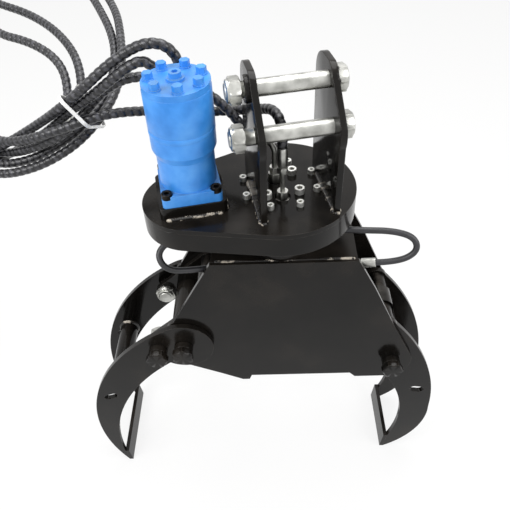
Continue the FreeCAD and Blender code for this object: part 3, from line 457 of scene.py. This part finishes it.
def hexagon_head(seat):
    """Profile of a head from its seat: a washer face, the flats, and both their ends chamfered."""
    top = seat + HEAD_THICK
    return [(seat, FREE, FLAT * 0.96), (seat + 0.8, FREE, FLAT * 0.96), (seat + 0.8, FLAT, FLAT * 1.02),
            (seat + 2.2, FLAT, POINT), (top - 2.2, FLAT, POINT), (top, FLAT, FLAT * 0.93)]


def collar_and_head(seat):
    """Profile of a round collar with softened edges from its seat, with a hexagon head on it."""
    top = seat + COLLAR_THICK
    return [(seat, FREE, 17), (seat + 0.6, FREE, 17.5), (top - 0.6, FREE, 17.5), (top, FREE, 17),
            *hexagon_head(top)]


# The jaws' pivots, a bolt in front and a nut behind, seated at the left on the tines and at the right on
# the frame's plates.
for side, seat, roll in (("left", 91, 0.0), ("right", 79, math.pi / 6)):
    x, y, z = JOINTS[side + "_jaw_pivot"]["pos_m"]
    foot = (1000 * (x - SLEW_AXIS), 0, 1000 * z)
    for end, way, low in (("bolt", FRONT, -seat), ("nut", REAR, seat - 1)):
        profile = [(low, FREE, 15), (seat, FREE, 15), *collar_and_head(seat)]
        piece("pivot_%s_head_%s" % (end, side), on_ground(turned(profile, foot, way, roll=roll)),
              "black_paint", "grapple_frame", "pivot_%s_%s" % (end, side))

# Each crank's bolt, with the spacer behind its tine, and its zinc-plated lock nut on the inside.
CRANK_BOLT = (-233, 0, 409)
bolt = [(61, FREE, 12), (69.5, FREE, 12), (69.5, FREE, 15), (80.5, FREE, 15), (80.5, FREE, 12),
        (90.5, FREE, 12), *collar_and_head(90.5)]
lock_nut = [(-59.5, FLAT, FLAT * 1.02), (-58, FLAT, POINT), (-50, FLAT, POINT), (-48.5, FLAT, FLAT * 1.03),
            (-48.5, FREE, FLAT * 0.9), (-45.5, FREE, FLAT * 0.88), (-44.5, FREE, FLAT * 0.76),
            (-44.5, FREE, 12), (-43.6, FREE, 11.2)]
for end, way, back in (("front", FRONT, REAR), ("rear", REAR, FRONT)):
    piece("crank_bolt_head_" + end, on_ground(turned(bolt, CRANK_BOLT, way, roll=0.5)),
          "black_paint", "left_jaw", "crank_bolt_" + end)
    piece("crank_lock_nut_" + end, on_ground(turned(lock_nut, CRANK_BOLT, back, roll=0.2)),
          "zinc_steel", "left_jaw")

# The hanger's cross bolts run from a head beside the right ear to a nut beside the left one. Their thread
# is a row of ridges.
EAR_LEFT, EAR_RIGHT, EAR_THICK = -49.0, 74.6, 10
UPPER_PIN = (0, -24, 190)
THREAD = 1.25
for level, foot, head_gap, nut_gap in (("lower", (0, -58, 135), 3, 14), ("upper", UPPER_PIN, 1, 11)):
    seat = EAR_RIGHT + head_gap
    low = EAR_LEFT - nut_gap - NUT_THICK
    ridges = np.arange(low + NUT_THICK, EAR_LEFT - 1, THREAD)
    bolt = [(low - 1.6, FREE, 10.9), (low, FREE, 12.3)]
    bolt += [row for ridge in ridges for row in ((ridge, FREE, 12.3), (ridge + THREAD / 2, FREE, 11.85))]
    bolt += [(EAR_LEFT, FREE, 12.45), (seat, FREE, 12.45), *hexagon_head(seat)]
    nut = [(low, FREE, FLAT * 0.8), (low + 1, FREE, FLAT * 0.92), (low + 4, FREE, FLAT * 0.94),
           (low + 4, FLAT, FLAT * 1.03), (low + 5.6, FLAT, POINT), (low + NUT_THICK - 1.6, FLAT, POINT),
           (low + NUT_THICK, FLAT, FLAT * 1.03)]
    piece("hanger_bolt_" + level, on_head(turned(bolt, foot, RIGHT, roll=0.35)),
          "zinc_steel", "rotator_head", "hanger_pin_" + level)
    piece("hanger_lock_nut_" + level, on_head(turned(nut, foot, RIGHT, roll=0.35)),
          "zinc_steel", "rotator_head", "hanger_nut_" + level)


def cap_screw(name, seat, radius, height, key, material, slot):
    """A socket cap screw: a round head with a chamfered rim, and a hexagon socket for a key of that size,
    whose walls are left rippled by the broach."""
    profile = [(-0.5, FREE, radius), (height - 0.9, FREE, radius), (height, FREE, radius - 0.9),
               (height, FREE, key * 0.62), (height - 0.5, key / 2, FREE), (height * 0.45, key / 2, FREE)]
    head = turned(profile, seat, UP, sides=72, roll=0.3, ripple=0.03)
    surface(name, on_head(head), material, "rotator_head", smooth=30)


def screw_circle(name, count, radius, first, size):
    """Zinc-plated screws at even steps round the slew axis, from a first angle in degrees. Their size is
    the head's radius, its height and its key."""
    for number in range(count):
        angle = math.radians(first + number * 360 / count)
        seat = (radius * math.cos(angle), radius * math.sin(angle), 0.3)
        cap_screw("%s_%d" % (name, number + 1), seat, *size, SCREW_ZINC_PAINTED_LIGHTER, "machined_steel")


screw_circle("ring_screw", 8, 61.5, -26.2, (6.05, 8, 5))
screw_circle("union_screw", 4, 37.6, 45, (8.05, 10, 8))
for number, (a, b) in enumerate([(-1, -1), (1, -1), (-1, 1), (1, 1)], 1):
    seat = (MOTOR_X + a * 37.6, b * 37.6, 36.2)
    cap_screw("flange_screw_%d" % number, seat, 8.05, 9.2, 8, BLACK_OXIDE_AND_PAINTED_SHADE, "black_paint")


# ---------- port fittings ----------

# The front port's stack: a hexagon, a thin pipe, a union nut, and the hose's crimped ferrule.
stack = [(-2, 8.4, 9.7), (10.6, 8.4, 9.7), (12, 8.4, 8.6),
         (12, FREE, 3.6), (47, FREE, 3.6),
         (47, 7.8, 8.2), (48.2, 7.8, 9), (56, 7.8, 9), (57.4, 7.8, 8.2),
         (57.4, FREE, 6.2), (59, FREE, 6.2),
         (59, FREE, 7.8), (60, FREE, 8.3), (91, FREE, 8.3), (92, FREE, 7.6)]
piece("front_port_union", on_head(turned(stack, (-2, -30, 0), UP, roll=0.1)), "zinc_steel", "rotator_head",
      "front_port_fitting")

# The rear port's pipe rises, bends back over a radius of 15 mm and ends in the hose's ferrule.
REAR_PORT = np.array([-5, 15, 0])
BEND, BEND_FOOT = 15, 55
PIPE, FERRULE = 4.6, 8.9
back = np.array([math.cos(math.radians(130)), math.sin(math.radians(130)), 0])
up = np.array(UP)
turn = np.radians(np.linspace(0, 90, 16))[:, None]
rise = [height * up for height in (6, 20, 40, 53)]
bend = (BEND_FOOT + BEND * np.sin(turn)) * up + BEND * (1 - np.cos(turn)) * back
ferrule = [(BEND_FOOT + BEND) * up + reach * back for reach in (15.4, 15.6, 26.4, 27)]
pipe = REAR_PORT + np.vstack([rise, bend, ferrule])
radii = np.r_[np.full(20, PIPE), FERRULE - 0.7, FERRULE, FERRULE, FERRULE - 0.6]
piece("rear_port_pipe", on_head(swept(pipe, np.repeat(radii[:, None], 32, axis=1))), "zinc_steel",
      "rotator_head", "rear_port_fitting")
nut = [(-3, 9.5, 10), (0, 9.5, 10.9), (15, 9.5, 10.9), (16.4, 9.5, 9.8), (16.4, 7.5, 8.6), (27, 7.5, 8.6),
       (28, 7.5, 7.7)]
piece("rear_port_nut", on_head(turned(nut, REAR_PORT, UP)), "zinc_steel", "rotator_head")


# ---------- hanger ears ----------

def arc(centre, radius, first, last):
    """Points 2 degrees apart on an arc, across and up."""
    angle = np.radians(np.linspace(first, last, int(abs(last - first) / 2) + 2))
    return np.column_stack([centre[0] + radius * np.cos(angle), centre[1] + radius * np.sin(angle)])


def ear_plate(name, left, node, edge=1.0):
    """A flame-cut plate: the outline, moved in by the edge's radius times one less the sine of an angle,
    at heights that fall short of the face by the radius times one less its cosine."""
    outline = np.vstack([[(38, 0), (-91, 0)], arc((-58, 135), 40, 205, 158), arc((-22, 190), 27, 158, 92),
                         arc((2, 180), 36, 88, 4), [(38, 0)]])
    even = spaced(np.insert(outline, 0, 0, axis=1), 2)[0][:-1, 1:]
    ahead, behind = np.roll(even, -1, axis=0), np.roll(even, 1, axis=0)
    way = (ahead - behind) / np.linalg.norm(ahead - behind, axis=1)[:, None]
    inward = np.column_stack([way[:, 1], -way[:, 0]])
    angle = np.radians([0, 30, 60, 90])
    inset = edge * (1 - np.sin(angle))
    height = edge * (1 - np.cos(angle))
    rows = np.r_[left + height, left + EAR_THICK - height[::-1]]
    inset = np.r_[inset, inset[::-1]]
    flat = even[None] + inset[:, None, None] * inward[None]
    grid = np.concatenate([np.broadcast_to(rows[:, None, None], (*flat.shape[:2], 1)), flat], -1)
    plate = surface(name, on_head(grid), FINISHES["black_paint"], "rotator_head", smooth=20)
    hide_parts(node)


ear_plate("ear_left_plate", EAR_LEFT, "hanger_ear_left")
ear_plate("ear_right_plate", EAR_RIGHT - EAR_THICK, "hanger_ear_right")
boss = [(-55, FREE, 19), (-54, FREE, 20), (-48.5, FREE, 20)]
piece("ear_left_boss", on_head(turned(boss, UPPER_PIN, RIGHT, sides=64)), "black_paint", "rotator_head")


# ---------- motor sections ----------

# Two of the motor's sections with rounded rims, so that a seam shows at each.
MOTOR_RADIUS = 49
for node, low, high in (("motor_spacer_plate", 129, 137.4), ("motor_gerotor_ring", 138.6, 196)):
    rim = [(0, MOTOR_RADIUS - 0.8), (0.3, MOTOR_RADIUS - 0.25), (0.9, MOTOR_RADIUS)]
    shell = [(low, FREE, 40)] + [(low + depth, FREE, radius) for depth, radius in rim]
    shell += [(high - depth, FREE, radius) for depth, radius in reversed(rim)] + [(high, FREE, 40)]
    piece(node + "_shell", on_head(turned(shell, (MOTOR_X, 0, 0), UP, sides=120)), "blue_paint",
          "rotator_head", node)


# ---------- welds ----------

def weld(name, start_point, end_point, size, body, place=on_head):
    """A fillet bead: a round strip along a line whose radius swells by a tenth in ripples 3.5 mm apart,
    wanders by an eighth, and runs out at both ends."""
    a, b = np.array(start_point, float), np.array(end_point, float)
    length = np.linalg.norm(b - a)
    along = np.linspace(0, 1, int(length / 0.8))
    ripple = 1 + 0.1 * np.sin(along * length / 3.5 * math.tau) + 0.12 * np.sin(along * length / 17 + a[0])
    way = (b - a) / length
    aside = np.cross(way, UP)
    aside = aside / np.linalg.norm(aside)
    angle = np.arange(14) * math.tau / 14
    ring = np.cos(angle)[:, None] * aside + np.sin(angle)[:, None] * np.cross(aside, way)
    radius = size * ripple * np.minimum(1, np.minimum(along, 1 - along) * length / size + 0.25)
    points = a + along[:, None, None] * (b - a) + radius[:, None, None] * ring
    surface(name, place(points), WELD_WITH_PAINTED_GLINTS, body, smooth=60)


# Beads round the motor's block, which stands between these sides, and at the ears' feet.
LEFT_SIDE, RIGHT_SIDE, FRONT_SIDE = -196.5, -91.5, -48
weld("block_weld_front", (LEFT_SIDE + 8, FRONT_SIDE, 0.6), (RIGHT_SIDE - 8, FRONT_SIDE, 0.6), 3.6,
     "rotator_head")
weld("block_weld_right", (RIGHT_SIDE, FRONT_SIDE + 8, 0.6), (RIGHT_SIDE, 40, 0.6), 3.4, "rotator_head")
for side, x in (("left", EAR_LEFT + EAR_THICK / 2), ("right", EAR_RIGHT - EAR_THICK / 2)):
    for face, lean in (("outer", -5.2), ("inner", 5.2)):
        weld("ear_weld_%s_%s" % (side, face), (x + lean, -89, 0.5), (x + lean, 36, 0.5), 3.0,
             "rotator_head")
    weld("ear_weld_%s_front" % side, (x - 5, -91, 0.5), (x + 5, -91, 0.5), 2.8, "rotator_head")
# Beads where the frame's top plate meets its two side plates.
for end, y in (("front", -71.5), ("rear", 71.5)):
    weld("deck_weld_" + end, (-112, y, 617), (122, y, 617), 2.2, "grapple_frame", on_ground)


# ---------- cross tubes ----------

# A tube between the tines of each jaw, with a bead round each end. inside is half the tines' gap.
TUBE = 19
for jaw, foot, inside in (("left", (-336, 0, 275), 80.3), ("right", (262, 0, 248), 59.3)):
    tube = [(-inside, FREE, TUBE - 1), (-inside + 1, FREE, TUBE), (inside - 1, FREE, TUBE),
            (inside, FREE, TUBE - 1)]
    bead = [(inside - 4.5, FREE, TUBE - 1), (inside - 4.2, FREE, TUBE + 0.6),
            (inside - 2.5, FREE, TUBE + 3), (inside - 1, FREE, TUBE + 4), (inside, FREE, TUBE + 4.2)]
    piece(jaw + "_cross_tube", on_ground(turned(tube, foot, REAR, sides=64)), "black_paint", jaw + "_jaw")
    for end, way in (("front", FRONT), ("rear", REAR)):
        surface("%s_tube_weld_%s" % (jaw, end), on_ground(turned(bead, foot, way, sides=64)), WELD_WITH_PAINTED_GLINTS,
                jaw + "_jaw", smooth=60)


# ---------- stage ----------

def stage_white():
    """White stage paint: seen directly or in a reflection it is white, and it still takes shadows."""
    material, tree, shader, _ = start("white_stage_paint", Roughness=0.9)
    shader.inputs["Base Color"].default_value = linear("#efefee")
    rays = add(tree, "ShaderNodeLightPath").outputs
    seen = add(tree, "ShaderNodeMath", {
        0: rays["Is Camera Ray"], 1: rays["Is Glossy Ray"]}, operation="MAXIMUM")
    seen = add(tree, "ShaderNodeMath", {
        0: seen.outputs[0], 1: rays["Is Transmission Ray"]}, operation="MAXIMUM")
    part = add(tree, "ShaderNodeMath", {0: seen.outputs[0], 1: 0.8}, operation="MULTIPLY")
    glow = add(tree, "ShaderNodeEmission", {"Color": (1, 1, 1, 1), "Strength": 1.0})
    mixed = add(tree, "ShaderNodeMixShader", {0: part.outputs[0], 1: shader.outputs[0], 2: glow.outputs[0]})
    tree.links.new(mixed.outputs[0], tree.nodes["Material Output"].inputs["Surface"])
    return material


floor_mesh = bpy.data.meshes.new("floor")
floor_mesh.from_pydata([(-9, -6, 0), (9, -6, 0), (9, 12, 0), (-9, 12, 0)], [], [(0, 1, 2, 3)])
floor_mesh.materials.append(stage_white())
floor = bpy.data.objects.new("floor", floor_mesh)
bpy.context.collection.objects.link(floor)

# The room is white where it is seen or mirrored, and lights the object more dimly.
world = bpy.data.worlds.new("studio")
world.use_nodes = True
bpy.context.scene.world = world
tree = world.node_tree
tree.nodes.clear()
rays = add(tree, "ShaderNodeLightPath").outputs
seen = add(tree, "ShaderNodeMath", {
    0: rays["Is Camera Ray"], 1: rays["Is Transmission Ray"]}, operation="MAXIMUM")
seen = add(tree, "ShaderNodeMath", {0: seen.outputs[0], 1: rays["Is Glossy Ray"]}, operation="MAXIMUM")
level = add(tree, "ShaderNodeMapRange", {"Value": seen.outputs[0], "To Min": 0.55, "To Max": 1.0})
sky = add(tree, "ShaderNodeBackground", {"Color": (1, 1, 1, 1), "Strength": level.outputs[0]})
add(tree, "ShaderNodeOutputWorld", {"Surface": sky.outputs[0]})


def matrix(x, y, z, place):
    """A placement from its three axes and its origin."""
    rows = np.eye(4)
    rows[:3, 0], rows[:3, 1], rows[:3, 2], rows[:3, 3] = x, y, z, place
    return Matrix(rows.tolist())


def lamp(name, place, aim, size, power):
    """A soft square lamp at place, facing aim, in metres and watts."""
    light = bpy.data.lights.new(name, "AREA")
    light.size = size
    light.energy = power
    item = bpy.data.objects.new(name, light)
    bpy.context.collection.objects.link(item)
    way = np.array(aim, float) - place
    way /= np.linalg.norm(way)
    level = np.cross(way, UP)
    level /= np.linalg.norm(level)
    item.matrix_world = matrix(level, np.cross(level, way), -way, place)


lamp("window_left", (-1.9, -1.2, 2.3), (0, 0, 0.5), 1.6, 48)
lamp("window_right", (2.0, -0.9, 1.9), (0, 0, 0.45), 1.4, 26)
lamp("overhead", (0.1, 0.5, 2.7), (0, 0, 0.5), 1.8, 40)

# The camera stands in front of the object and above it, and looks down steeply. Its angles are radians.
camera_data = bpy.data.cameras.new("camera")
camera_data.sensor_width = 36
camera_data.lens = 42.35
camera = bpy.data.objects.new("camera", camera_data)
bpy.context.collection.objects.link(camera)
heading, pitch, roll = 0.030, -0.759, -0.049
forward = np.array([-math.sin(heading) * math.cos(pitch), math.cos(heading) * math.cos(pitch),
                    math.sin(pitch)])
level_right = np.array([math.cos(heading), math.sin(heading), 0])
level_up = np.cross(level_right, forward)
camera.matrix_world = matrix(math.cos(roll) * level_right + math.sin(roll) * level_up,
                             math.cos(roll) * level_up - math.sin(roll) * level_right,
                             -forward, (0.0185, -0.785, 1.308))
bpy.context.scene.camera = camera
bpy.context.scene.view_settings.view_transform = "Standard"
